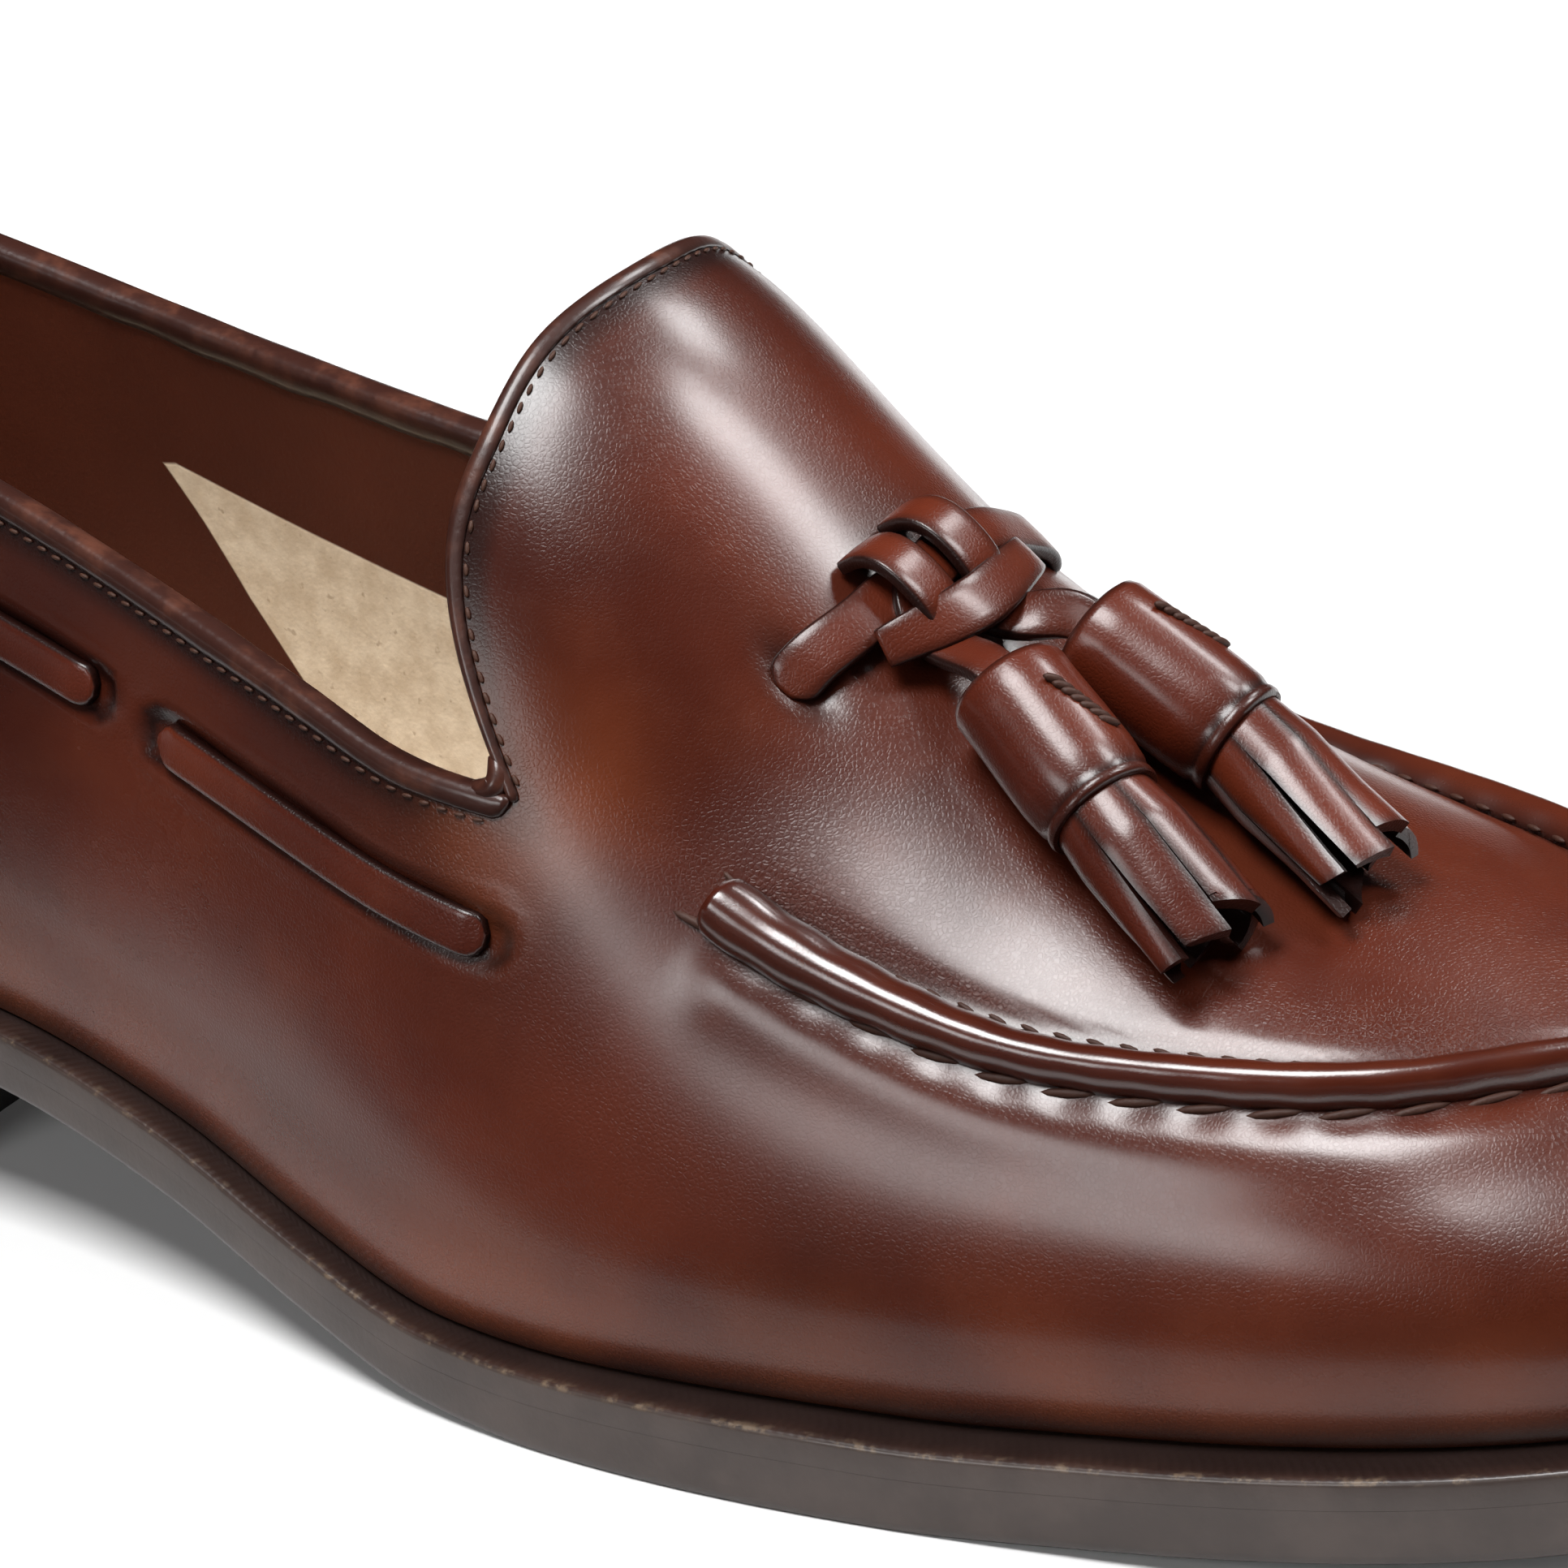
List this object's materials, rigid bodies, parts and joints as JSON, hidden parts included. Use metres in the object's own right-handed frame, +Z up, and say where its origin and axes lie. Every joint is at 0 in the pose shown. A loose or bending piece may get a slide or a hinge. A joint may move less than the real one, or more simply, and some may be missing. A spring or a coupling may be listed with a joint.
{
  "type": "tassel loafer",
  "caption": "Slip-on leather dress shoe with a moccasin apron, a laced collar, a knotted front lace with tassels and a low stacked heel.",
  "frame": {"origin": "on the floor under the middle of the heel", "axes": "+X to the toe along the shoe, +Y to the medial side, +Z up"},
  "size_m": [0.3, 0.1015, 0.1066],
  "materials": {
    "calf": "burnished smooth calf",
    "edge": "waxed sole edge",
    "lining": "undyed lining leather",
    "rubber": "matte heel top piece",
    "binding": "glossy dark binding"
  },
  "bodies": {
    "root": {"upper": "calf", "outsole": "edge", "welt": "edge", "insole": "lining", "heel_stack": "edge", "top_piece": "rubber", "moc_roll": "calf", "collar_binding": "binding", "tongue_binding": "binding", "lace_lateral_front": "calf", "lace_lateral_middle": "calf", "lace_medial_front": "calf", "lace_medial_middle": "calf", "lace_heel": "calf", "front_lace": "calf", "lace_knot": "calf", "lace_end_lateral": "calf", "lace_end_medial": "calf", "tassel_lateral": "calf", "tassel_medial": "calf"}
  },
  "joints": []
}
